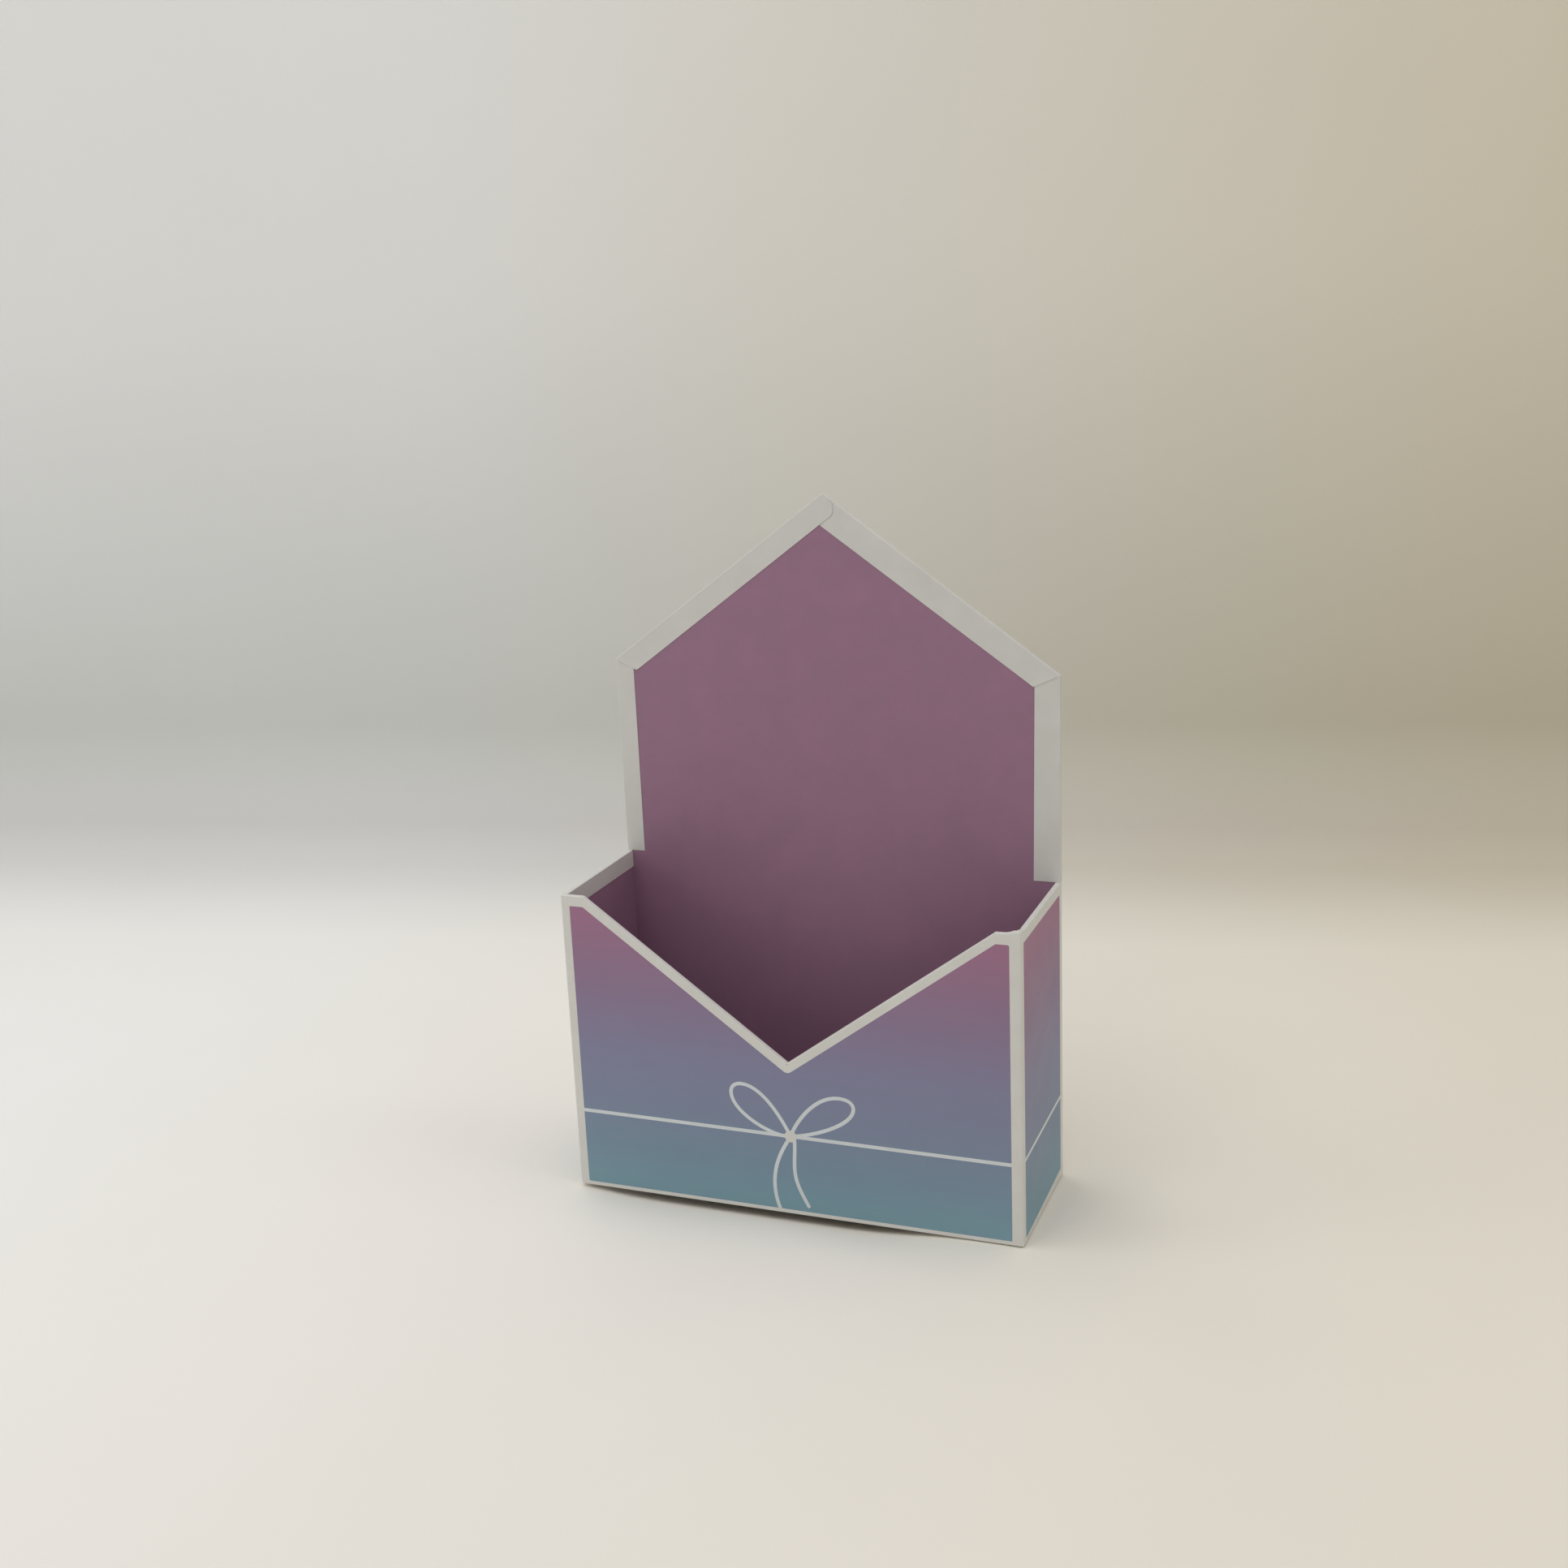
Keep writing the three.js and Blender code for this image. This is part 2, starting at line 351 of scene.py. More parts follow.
class Sheet:
    """The outer skin of a folded sheet, welded where its stretches meet."""

    def __init__(self):
        self.mesh = bmesh.new()
        self.corners = {}

    def corner(self, point):
        """The one vertex at a point."""
        key = tuple(round(value, weld_decimals) for value in point)
        if key not in self.corners:
            self.corners[key] = self.mesh.verts.new(Vector(point) * MM)
        return self.corners[key]

    def face(self, points, material=plain):
        """A face round some points, left out where they fall together."""
        ring = []
        for point in points:
            vertex = self.corner(point)
            if vertex not in ring:
                ring.append(vertex)
        if len(ring) < 3:
            return
        face = self.mesh.faces.new(ring)
        face.material_index = material
        face.smooth = True

    def strip(self, rows):
        """Bent faces between rows of points."""
        for near, far in zip(rows, rows[1:]):
            for i in range(len(near) - 1):
                self.face([near[i], near[i + 1], far[i + 1], far[i]])

    def flat(self, outline, place, lines=(), material_at=lambda point: plain):
        """A stretch inside an outline, cut along closed lines, with a material for each of its faces."""
        points = []
        edges = []
        for loop in (outline, *lines):
            first = len(points)
            points.extend(Vector(p) for p in loop)
            edges.extend((first + i, first + (i + 1) % len(loop)) for i in range(len(loop)))
        corners, _, faces, *_ = delaunay_2d_cdt(points, edges, [], inside_outline, cut_reach)
        for face in faces:
            ring = [corners[i] for i in face]
            middle = sum(ring, Vector((0, 0))) / len(ring)
            if is_inside(middle, outline):
                self.face([place(*p) for p in ring], material_at(middle))

    def finish(self, name, centre, materials, slot, *nodes):
        """The sheet as a piece with the paper's thickness inside its skin, facing away from a centre."""
        bmesh.ops.recalc_face_normals(self.mesh, faces=self.mesh.faces)
        middle = Vector(centre) * MM
        facing = 0
        for face in self.mesh.faces:
            facing += (face.calc_center_median() - middle).dot(face.normal) * face.calc_area()
        if facing < 0:
            bmesh.ops.reverse_faces(self.mesh, faces=self.mesh.faces)
        for edge in self.mesh.edges:
            edge.smooth = len(edge.link_faces) == 2 and edge.calc_face_angle() < sharp_angle
        mesh = bpy.data.meshes.new(name)
        self.mesh.to_mesh(mesh)
        self.mesh.free()
        sheet = placed(name, mesh)
        for material in materials:
            mesh.materials.append(material)
        body = sheet.modifiers.new("paper", "SOLIDIFY")
        body.thickness = paper * MM
        body.offset = -1
        body.use_even_offset = True
        # Inside and on its cut edges the paper is plain, whatever is printed outside
        body.material_offset = -fine_line
        body.material_offset_rim = -fine_line
        shading = sheet.modifiers.new("flat stretches stay flat", "WEIGHTED_NORMAL")
        shading.keep_sharp = True
        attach(sheet, "root")
        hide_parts(*nodes)
        return sheet


# Printed sheet round the front and both sides

def front_fade_outline():
    """The printed fade of the front, inside its borders."""
    border = [(-half_width, fade_top), (half_width, fade_top)]
    slopes = notch_path(notch_border)
    left_top = crossing(*border, slopes[1], slopes[2])
    right_top = crossing(*border, slopes[2], slopes[3])
    return rounded_outline([
        (fade_left, fade_foot, fade_corner_round),
        (fade_left, fade_top, fade_slight_round),
        (*left_top, fade_corner_round),
        (*slopes[2], fade_tip_round),
        (*right_top, fade_corner_round),
        (fade_right, fade_top, fade_corner_round),
        (fade_right, fade_foot, fade_slight_round),
    ])


def side_fade_outline():
    """The printed fade of a side, inside its borders."""
    return rounded_outline([
        (side_fade_front, side_fade_foot_front, fade_slight_round),
        (side_fade_rear, side_fade_foot_rear, fade_slight_round),
        (side_fade_rear, fade_top, fade_slight_round),
        (side_fade_front, fade_top, fade_slight_round),
    ])


def bow_lines():
    """The pen lines of the bow: two loops and two tails."""
    left_top, left_end = (-23, 63.5), (-28.4, 58.6)
    left_loop = [knot]
    left_loop += curve_points(knot, (-3.5, 48.2), (-12.7, 63.5), left_top)
    left_loop += curve_points(left_top, (-26.4, 63.5), (-28.4, 61.6), left_end)
    left_loop += curve_points(left_end, (-28.4, 48.6), (-8.5, 38.6), knot)
    right_top, right_end = (24.5, 61.9), (31.5, 57.4)
    right_loop = [knot]
    right_loop += curve_points(knot, (2.6, 46.7), (12.6, 61.9), right_top)
    right_loop += curve_points(right_top, (28.8, 61.9), (31.5, 60.4), right_end)
    right_loop += curve_points(right_end, (31.5, 50.6), (16.5, 42.8), knot)
    left_bend = (-8.5, 15)
    left_tail = [knot]
    left_tail += curve_points(knot, (-3.2, 34.4), (-8.5, 25.8), left_bend)
    left_tail += curve_points(left_bend, (-8.5, 10), (-7.6, 6), (-6, 1.9))
    right_start, right_bend = (2.2, 38.2), (1.7, 24.5)
    right_tail = [right_start]
    right_tail += curve_points(right_start, (2.3, 33), (1.7, 29), right_bend)
    right_tail += curve_points(right_bend, (1.7, 17.6), (3.8, 13.4), (8, 5.6))
    return [left_loop, right_loop, left_tail, right_tail]


def printed_face(sheet, outline, place, fade, strokes):
    """A wall of the wrap, with its fade inside white borders and white pen lines over it."""
    cuts = [fade] + [stroke_outline(line, width) for line, width in strokes]

    def material_at(point):
        widths = [width for line, width in strokes if is_near(point, line, width / 2)]
        if not is_inside(point, fade) or any(width > line_width for width in widths):
            return plain
        return fine_line if widths else printed

    sheet.flat(outline, place, cuts, material_at)


def wrap_top_fold(sheet, side):
    """The fold over the top of one side wall, its shelf and its slope of the notch."""
    profile = fold_profile(wall_thickness)
    rows = []
    for i, (inset, depth) in enumerate(profile):
        share = i / (len(profile) - 1)
        level = wall_height - depth
        side_x = side * (half_width - inset)
        row = [(side_x, wall_end_y, level)]
        for y, run in zip(reversed(wall_swell_ys), reversed(swell_stations)):
            row.append((side_x, y, level + corner_rise(side, run, share)))
        peak = level + corner_rise(side, 0, share)
        row += [(*front_corner(side, inset, turn), peak) for turn in corner_turns]
        for x, run in zip(shelf_swell_xs, swell_stations):
            row.append((side * x, front_y + inset, level + corner_rise(side, run, share)))
        row.append((side * notch_bend_x(depth), front_y + inset, level))
        slit_x, slit_z = slit_point(side, depth)
        row.append((slit_x, front_y + inset, slit_z))
        rows.append(row)
    sheet.strip(rows)


def wrap_corners(sheet, side):
    """The upright corners at the front and the back of one side wall."""
    front = [front_corner(side, 0, turn) for turn in corner_turns]
    back = [back_corner(side, turn) for turn in corner_turns]
    for corner, top in ((front, fold_top), (back, wall_height)):
        sheet.strip([[(*point, z) for point in corner] for z in (fold_foot, top)])


def wrap_side(sheet, side):
    """One side wall with its print, and its return on to the back."""
    return_end = half_width - back_return
    return_outline = [
        (side * flat_end_x, fold_foot),
        (side * return_end, fold_foot),
        (side * return_end, wall_height),
        (side * flat_end_x, wall_height),
    ]
    sheet.flat(return_outline, lambda x, z: (x, return_y, z))
    wall_outline = [
        (flat_front_y, fold_foot),
        (flat_rear_y, fold_foot),
        (flat_rear_y, wall_height),
        (wall_end_y, wall_height),
        (wall_end_y, fold_top),
        *((y, fold_top) for y in reversed(wall_swell_ys)),
        (flat_front_y, fold_top),
    ]
    band = [(side_fade_front - overrun, side_band_front), (side_fade_rear + overrun, side_band_rear)]
    strokes = [(band, line_width)]
    printed_face(sheet, wall_outline, lambda y, z: (side * half_width, y, z), side_fade_outline(), strokes)


def wrap_flaps(sheet, side):
    """One side's flaps: turned in over the notch and the wall, and turned under the base."""
    notch_flap = [
        (side * side_inner_x, fold_top),
        *((side * x, fold_top) for x in shelf_swell_xs),
        (side * notch_bend_x(fold_radius), fold_top),
        slit_point(side, fold_radius),
        slit_point(side, notch_turn_in),
        (side * notch_bend_x(notch_turn_in), wall_height - notch_turn_in),
        (side * side_inner_x, wall_height - notch_turn_in),
    ]
    sheet.flat(notch_flap, lambda x, z: (x, wall_inner_y, z))
    wall_flap = [
        (wall_inner_y, fold_top),
        *((y, fold_top) for y in wall_swell_ys),
        (wall_end_y, fold_top),
        (wall_end_y, wall_height - wall_turn_in),
        (wall_inner_y, wall_height - wall_turn_in),
    ]
    sheet.flat(wall_flap, lambda y, z: (side * side_inner_x, y, z))
    fold_x = half_width - fold_radius
    flap_x = half_width - bottom_turn_in
    bottom_flap = [
        (side * fold_x, flat_front_y),
        (side * fold_x, flat_rear_y),
        (side * flap_x, flat_rear_y - bottom_turn_in),
        (side * flap_x, front_y + bottom_turn_in + mitre_gap),
    ]
    sheet.flat(bottom_flap, lambda x, y: (x, y, wrap_foot))


def wrap_front(sheet):
    """The front wall with its print."""
    tops = notch_path(fold_radius)
    outline = [
        (-flat_end_x, fold_foot),
        (flat_end_x, fold_foot),
        (flat_end_x, fold_top),
        *((x, fold_top) for x in shelf_swell_xs),
        tops[3],
        slit_point(1, fold_radius),
        tops[2],
        slit_point(-1, fold_radius),
        tops[1],
        *((-x, fold_top) for x in reversed(shelf_swell_xs)),
        (-flat_end_x, fold_top),
    ]
    band = [(fade_left - overrun, band_height), (fade_right + overrun, band_height)]
    knot_line = [(knot[0] - knot_stub, knot[1]), (knot[0] + knot_stub, knot[1])]
    strokes = [(line, line_width) for line in (band, *bow_lines())]
    strokes.append((knot_line, 2 * knot_radius))
    printed_face(sheet, outline, lambda x, z: (x, front_y, z), front_fade_outline(), strokes)


def wrap_foot_fold(sheet):
    """The fold at the foot of the front and the sides, and the front flap under the base."""
    rows = []
    for inset, rise in fold_profile(wall_thickness)[: arc_steps + 1]:
        level = wrap_foot + rise
        row = [(inset - half_width, flat_rear_y, level)]
        row += [(*front_corner(-1, inset, turn), level) for turn in corner_turns]
        row += [(*front_corner(1, inset, turn), level) for turn in reversed(corner_turns)]
        row.append((half_width - inset, flat_rear_y, level))
        rows.append(row)
    sheet.strip(rows)
    flap_end_x = half_width - bottom_turn_in - mitre_gap
    flap = [
        (-flat_end_x, front_y + fold_radius),
        (flat_end_x, front_y + fold_radius),
        (flap_end_x, front_y + bottom_turn_in),
        (-flap_end_x, front_y + bottom_turn_in),
    ]
    sheet.flat(flap, lambda x, y: (x, y, wrap_foot))


def front_and_sides_wrap(materials):
    """The printed sheet round the front and both sides, with its turned-in flaps."""
    sheet = Sheet()
    for side in (-1, 1):
        wrap_top_fold(sheet, side)
        wrap_corners(sheet, side)
        wrap_side(sheet, side)
        wrap_flaps(sheet, side)
    wrap_front(sheet)
    wrap_foot_fold(sheet)
    centre = (0, 0, wall_height / 2)
    return sheet.finish("printed_wrap_sheet", centre, materials, "printed_paper", "front_and_sides_wrap")


# White sheet on the tall back

left_slope = slice(1, 3)
right_slope = slice(2, 4)
fold_line = gable_path(fold_radius)
left_foot, left_shoulder, apex, right_shoulder, right_foot = fold_line
left_flap_x = -half_width + left_flap
right_flap_top_x = half_width - right_flap_top
right_flap_foot_x = half_width - right_flap_foot
left_seam_z = left_shoulder[1] - seam_fall_share * (left_flap - fold_radius)
right_seam_z = right_shoulder[1] - seam_fall_share * (right_flap_top - fold_radius)


def rear_surface(x, z):
    """Depth of the white sheet's rear face, which stands proud where it covers the wrap's back returns."""
    over_side = (abs(x) - half_width + back_return) / telegraph_run + 1
    below_top = (back_fold_foot - z) / telegraph_run + 1
    share = min(max(min(over_side, below_top), 0), 1)
    return rear_y - telegraph_rise * (1 - share)


def back_fold_row(inset, depth):
    """A row of the white sheet's fold over the gable and the upper sides, inset from its rear face."""
    path = gable_path(depth)
    path.insert(1, (path[0][0], back_step))
    path.insert(-1, (path[-1][0], back_step))
    if inset <= fold_radius:
        return [(x, rear_surface(x, z) - inset, z) for x, z in path]
    return [(x, flap_y + back_thickness - inset, z) for x, z in path]


def back_rear(sheet):
    """The rear face, with the step that the wrap's returns leave in it."""
    outline = [
        (-back_sheet_x, fold_foot),
        (-back_sheet_x, back_fold_foot),
        left_foot,
        (left_foot[0], back_step),
        left_shoulder,
        apex,
        right_shoulder,
        (right_foot[0], back_step),
        right_foot,
        (back_sheet_x, back_fold_foot),
        (back_sheet_x, fold_foot),
    ]
    steps = []
    for side in (-1, 1):
        for inner, top in zip(return_step_xs, (back_fold_foot, back_step)):
            low_x, high_x = sorted((side * inner, side * (half_width + overrun)))
            steps.append([(low_x, 0), (high_x, 0), (high_x, top), (low_x, top)])
    sheet.flat(outline, lambda x, z: (x, rear_surface(x, z), z), steps)


def back_foot_fold(sheet):
    """The fold at the foot of the rear face, and the flap under the base."""
    columns = sorted(side * x for side in (-1, 1) for x in (back_sheet_x, *return_step_xs))
    profile = fold_profile(back_thickness)[: arc_steps + 1]
    rows = [[(x, rear_surface(x, 0) - inset, wrap_foot + rise) for x in columns] for inset, rise in profile]
    sheet.strip(rows)
    flap_end_x = back_sheet_x - bottom_turn_in
    flap = [(x, y) for x, y, z in rows[-1]]
    flap += [(flap_end_x, rear_y - bottom_turn_in), (-flap_end_x, rear_y - bottom_turn_in)]
    sheet.flat(flap, lambda x, y: (x, y, wrap_foot))


def back_side_flaps(sheet):
    """The two upright flaps, which reach up under the gable's flaps."""
    left = [
        left_foot,
        (left_foot[0], back_step),
        left_shoulder,
        (left_flap_x, left_seam_z + tuck),
        (left_flap_x, back_fold_foot),
    ]
    right = [
        right_foot,
        (right_foot[0], back_step),
        right_shoulder,
        (right_flap_top_x, right_seam_z + tuck),
        (right_flap_foot_x, back_fold_foot),
    ]
    for outline in (left, right):
        sheet.flat(outline, lambda x, z: (x, flap_y, z))


def step_share(distance):
    """A share that falls from 1 to 0 over the run of a step."""
    return min(max(1 - distance / telegraph_run, 0), 1)


def left_of(point, line):
    """How far a point lies to the left of a line."""
    start, end = Vector(line[0]), Vector(line[1])
    return (end - start).normalized().cross(Vector(point) - start)


def shifted(line, distance):
    """A line moved to its left."""
    start, end = Vector(line[0]), Vector(line[1])
    along = (end - start).normalized()
    left = Vector((-along.y, along.x)) * distance
    return [tuple(start + left), tuple(end + left)]


def upright(x):
    """Two points of the upright line at a distance across."""
    return (x, 0), (x, 1)


def gable_flap(sheet, fold, outline, steps):
    """A gable flap pressed flat, with steps (line, rise) to whose right it rises over a flap below it."""
    def place(x, z):
        rise = sum(height * step_share(left_of((x, z), line)) for line, height in steps)
        off_fold = 1 - step_share(abs(left_of((x, z), fold)))
        return x, flap_y - rise * off_fold, z

    cuts = [[*line, *reversed(shifted(line, telegraph_run))] for line, _ in steps]
    cuts.append([*shifted(fold, overrun), *reversed(shifted(fold, -telegraph_run))])
    sheet.flat(outline, place, cuts)


def back_right_gable(sheet):
    """The right gable flap, which covers the top of the right flap and dips under the left gable flap."""
    fold = fold_line[right_slope]
    ramp = shifted(fold, -telegraph_run)
    free_top = gable_path(right_gable_flap_top)[2]
    free_end = gable_path(right_gable_flap_end)[right_slope]
    seam = [(right_flap_top_x - line_reach, right_seam_z - seam_fall_share * line_reach), fold[1]]
    corner = crossing(*seam, *free_end)
    under_left = crossing(free_top, corner, *upright(-tuck))
    outline = [*fold, (right_flap_top_x, right_seam_z), corner, under_left]
    over_side = shifted(seam, tuck)
    over_side[1] = crossing(*over_side, *ramp)
    sink = lap - lap_sink
    below_left = [crossing(*upright(sink), *ramp), (sink, apex_height - line_reach)]
    gable_flap(sheet, fold, outline, [(over_side, flap_lift), (below_left, -flap_sink)])


def back_left_gable(sheet):
    """The left gable flap, which covers the tops of the left flap and of the right gable flap."""
    fold = fold_line[left_slope]
    ramp = shifted(fold, -telegraph_run)
    free = gable_path(left_gable_flap)[left_slope]
    seam = [fold[0], (left_flap_x + seam_tip, left_seam_z - seam_fall_share * seam_tip)]
    free_start = crossing(*seam, *free)
    free_end = crossing(*free, *upright(lap))
    lap_edge = gable_path(fold_radius + lap_inset)[right_slope]
    lap_corner = crossing(*lap_edge, *upright(lap))
    outline = rounded_outline([
        (*fold[0], 0),
        (*fold[1], 0),
        (*lap_corner, 0),
        (*free_end, lap_round),
        (*free_start, seam_round),
    ])
    over_side = shifted(seam, tuck)
    over_side[0] = crossing(*over_side, *ramp)
    # This step runs on to twice its length, past the tip of the flap
    over_side[1] = tuple(2 * Vector(over_side[1]) - Vector(over_side[0]))
    over_right = [(-tuck, apex_height - line_reach), crossing(*upright(-tuck), *ramp)]
    gable_flap(sheet, fold, outline, [(over_side, flap_lift), (over_right, flap_lift)])


def back_wrap(materials):
    """The white sheet on the tall back, folded over its gable and its upper sides on to the lining."""
    sheet = Sheet()
    sheet.strip([back_fold_row(inset, depth) for inset, depth in fold_profile(back_thickness)])
    back_rear(sheet)
    back_foot_fold(sheet)
    back_side_flaps(sheet)
    back_right_gable(sheet)
    back_left_gable(sheet)
    centre = (0, 0, shoulder_height / 2)
    return sheet.finish("white_back_sheet", centre, materials, "white_paper", "back_wrap")


# Corner stays

def corner_stay(node, side_x, side_y, material):
    """A strip of stay paper folded round an upright corner of the boards."""
    low, high = node_box(node)
    outer_x = max(abs(low.x), abs(high.x))
    leg_x = min(abs(low.x), abs(high.x))
    outer_y = high.y if side_y > 0 else low.y
    leg_y = low.y if side_y > 0 else high.y
    radius = corner_radius - (half_width - outer_x)
    outline = [(leg_x, outer_y)]
    for turn in reversed(corner_turns):
        angle = turn * math.pi / 2
        outline.append((
            outer_x - radius + radius * math.cos(angle),
            outer_y - side_y * (radius - radius * math.sin(angle)),
        ))
    outline.append((outer_x, leg_y))
    mesh = bmesh.new()
    foot, top = [
        [mesh.verts.new(Vector((side_x * x, y, z)) * MM) for x, y in outline]
        for z in (low.z, high.z)
    ]
    for i in range(len(outline) - 1):
        face = mesh.faces.new([foot[i], foot[i + 1], top[i + 1], top[i]])
        face.smooth = True
    mesh.normal_update()
    mesh.faces.ensure_lookup_table()
    if mesh.faces[0].normal.y * side_y < 0:
        bmesh.ops.reverse_faces(mesh, faces=mesh.faces)
    data = bpy.data.meshes.new(node + "_paper")
    mesh.to_mesh(data)
    mesh.free()
    data.materials.append(material)
    stay = placed(node + "_paper", data)
    body = stay.modifiers.new("paper", "SOLIDIFY")
    body.thickness = stay_thickness * MM
    body.offset = -1
    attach(stay, "root")
    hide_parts(node)
    return stay


# Materials, with colours as six hexadecimal digits

# Rows of (share of the wall's height, colour) up the printed fade
fade_shares = (
    (0.05, "799caa"),
    (0.15, "7892a5"),
    (0.31, "7e89a2"),
    (0.50, "8483a1"),
    (0.69, "8d7795"),
    (0.82, "96728f"),
    (0.93, "a0708d"),
)

# Pairs that each material clouds between
white_colours = ("dddcd6", "d9d7d1")
fine_line_colours = ("d8dee0", "d4dadb")
# The back sheet's white is the unprinted white made a touch darker, painted shade
back_painted_shade_colours = ("d7d6d0", "d3d1cb")
lining_colours = ("967187", "9d748c")
board_colours = ("979083", "aaa497")
fleck_colour = "6f6a60"
stay_colours = ("b89f76", "ccb48d")

board_roughness = 0.95
stay_roughness = 0.9


def linear(hex_colour):
    """A colour in linear light."""
    channels = [int(hex_colour[i: i + 2], 16) / 255 for i in (0, 2, 4)]
    return tuple(c / 12.92 if c <= 0.04045 else ((c + 0.055) / 1.055) ** 2.4 for c in channels)


def new_material(name):
    """A material with its node tree and its shader."""
    material = bpy.data.materials.new(name)
    material.use_nodes = True
    tree = material.node_tree
    return material, tree, tree.nodes["Principled BSDF"]


def place_of(tree):
    """The surface's place in the object, in metres."""
    return tree.nodes.new("ShaderNodeTexCoord").outputs["Object"]


def noise(tree, scale, detail, roughness=0.55, stretch=None):
    """Noise over the object, with a scale in waves per metre."""
    texture = tree.nodes.new("ShaderNodeTexNoise")
    texture.inputs["Scale"].default_value = scale
    texture.inputs["Detail"].default_value = detail
    texture.inputs["Roughness"].default_value = roughness
    source = place_of(tree)
    if stretch:
        mapping = tree.nodes.new("ShaderNodeMapping")
        mapping.inputs["Scale"].default_value = stretch
        tree.links.new(source, mapping.inputs["Vector"])
        source = mapping.outputs["Vector"]
    tree.links.new(source, texture.inputs["Vector"])
    return texture.outputs["Fac"]


def spread(tree, value, low, high, from_low=0.3, from_high=0.7):
    """A value's stretch from from_low to from_high, spread over low to high and held beyond its ends."""
    node = tree.nodes.new("ShaderNodeMapRange")
    node.inputs["From Min"].default_value = from_low
    node.inputs["From Max"].default_value = from_high
    node.inputs["To Min"].default_value = low
    node.inputs["To Max"].default_value = high
    tree.links.new(value, node.inputs["Value"])
    return node.outputs["Result"]


def shade(tree, colour, factor):
    """A colour made lighter or darker by a factor."""
    node = tree.nodes.new("ShaderNodeVectorMath")
    node.operation = "SCALE"
    tree.links.new(colour, node.inputs[0])
    tree.links.new(factor, node.inputs["Scale"])
    return node.outputs["Vector"]


def mixed(tree, factor, low, high):
    """A colour between two, by a factor."""
    node = tree.nodes.new("ShaderNodeMix")
    node.data_type = "RGBA"
    inputs = {socket.identifier: socket for socket in node.inputs}
    outputs = {socket.identifier: socket for socket in node.outputs}
    tree.links.new(factor, inputs["Factor_Float"])
    for socket, colour in ((inputs["A_Color"], low), (inputs["B_Color"], high)):
        if isinstance(colour, bpy.types.NodeSocket):
            tree.links.new(colour, socket)
        else:
            socket.default_value = (*colour, 1)
    return outputs["Result_Color"]


def clouded(tree, cloud, colours):
    """A soft change between two colours, by a cloud of noise."""
    return mixed(tree, spread(tree, cloud, 0, 1), *(linear(colour) for colour in colours))


def colour_run(tree, share, stops):
    """A run of colours along a share from 0 to 1, from rows of (share, colour)."""
    node = tree.nodes.new("ShaderNodeValToRGB")
    elements = node.color_ramp.elements
    for i, (place, colour) in enumerate(stops):
        element = elements[i] if i < len(elements) else elements.new(place)
        element.position = place
        element.color = (*linear(colour), 1)
    tree.links.new(share, node.inputs["Fac"])
    return node.outputs["Color"]


def bumps(tree, shader, *layers):
    """Surface relief from layers of (height, depth)."""
    normal = None
    for height, depth in layers:
        node = tree.nodes.new("ShaderNodeBump")
        node.inputs["Strength"].default_value = 1
        node.inputs["Distance"].default_value = depth * MM
        tree.links.new(height, node.inputs["Height"])
        if normal:
            tree.links.new(normal, node.inputs["Normal"])
        normal = node.outputs["Normal"]
    tree.links.new(normal, shader.inputs["Normal"])


def printed_fade():
    """Coated paper printed with a fade from teal blue at the foot to mauve pink at the top."""
    material, tree, shader = new_material("printed_fade")
    height = tree.nodes.new("ShaderNodeSeparateXYZ")
    tree.links.new(place_of(tree), height.inputs["Vector"])
    share = spread(tree, height.outputs["Z"], 0, 1, 0, wall_height * MM)
    fade = colour_run(tree, share, fade_shares)
    mottle = spread(tree, noise(tree, scale=90, detail=3), 0.99, 1.01)
    grain = spread(tree, noise(tree, scale=2600, detail=2), 0.98, 1.02)
    roughness = spread(tree, noise(tree, scale=60, detail=2), 0.48, 0.54)
    tree.links.new(shade(tree, shade(tree, fade, mottle), grain), shader.inputs["Base Color"])
    tree.links.new(roughness, shader.inputs["Roughness"])
    waves = (noise(tree, scale=28, detail=2), 0.15)
    fibre = (noise(tree, scale=1900, detail=3), 0.012)
    bumps(tree, shader, waves, fibre)
    return material


def paper_white(name, colours):
    """Unprinted coated paper with a faint fibre grain."""
    material, tree, shader = new_material(name)
    base = clouded(tree, noise(tree, scale=70, detail=4), colours)
    grain = spread(tree, noise(tree, scale=2300, detail=3), 0.975, 1.02)
    roughness = spread(tree, noise(tree, scale=200, detail=3), 0.45, 0.6)
    tree.links.new(shade(tree, base, grain), shader.inputs["Base Color"])
    tree.links.new(roughness, shader.inputs["Roughness"])
    waves = (noise(tree, scale=32, detail=2), 0.15)
    fibre = (noise(tree, scale=1700, detail=3), 0.014)
    bumps(tree, shader, waves, fibre)
    return material


def mauve_lining():
    """Uncoated mauve paper with a soft mottle."""
    material, tree, shader = new_material("mauve_lining")
    base = clouded(tree, noise(tree, scale=55, detail=5), lining_colours)
    grain = spread(tree, noise(tree, scale=2400, detail=3), 0.96, 1.04)
    roughness = spread(tree, noise(tree, scale=240, detail=3), 0.6, 0.75)
    tree.links.new(shade(tree, base, grain), shader.inputs["Base Color"])
    tree.links.new(roughness, shader.inputs["Roughness"])
    waves = (noise(tree, scale=26, detail=2), 0.2)
    fibre = (noise(tree, scale=1600, detail=3), 0.02)
    bumps(tree, shader, waves, fibre)
    return material


def greyboard():
    """Recycled grey board with flecks and pressed fibre."""
    material, tree, shader = new_material("greyboard_fibre")
    base = clouded(tree, noise(tree, scale=160, detail=6, roughness=0.7), board_colours)
    flecks = noise(tree, scale=900, detail=2, roughness=0.4, stretch=(1, 1, 0.4))
    fleck = spread(tree, flecks, 0, 1, from_low=0.68, from_high=0.74)
    tree.links.new(mixed(tree, fleck, base, linear(fleck_colour)), shader.inputs["Base Color"])
    shader.inputs["Roughness"].default_value = board_roughness
    fibre = (noise(tree, scale=1200, detail=4, roughness=0.7), 0.06)
    bumps(tree, shader, fibre)
    return material


